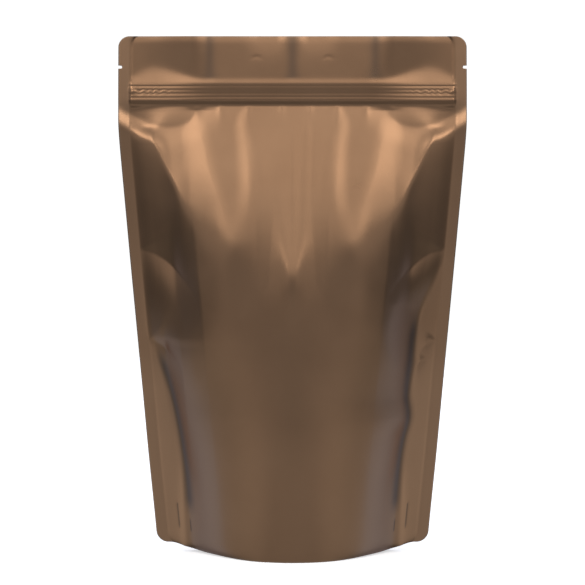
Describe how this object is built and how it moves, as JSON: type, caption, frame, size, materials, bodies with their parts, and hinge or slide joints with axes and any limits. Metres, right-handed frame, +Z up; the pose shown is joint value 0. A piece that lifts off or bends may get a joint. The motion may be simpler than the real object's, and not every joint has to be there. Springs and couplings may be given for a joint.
{
  "type": "stand-up pouch",
  "caption": "Filled stand-up pouch of satin metallised film with a flat flap, press-to-close zip, tear notches, sealed sides and a folded base it stands on.",
  "frame": {"origin": "on the floor, at the centre of the pouch's footprint", "axes": "+Z up towards the flap, front panel facing -Y, +X to the right of someone looking at the front"},
  "size_m": [0.203, 0.0844, 0.302],
  "materials": {
    "film": "satin copper-brown metallised film, unprinted"
  },
  "bodies": {
    "root": {"pouch": "film"}
  },
  "joints": []
}
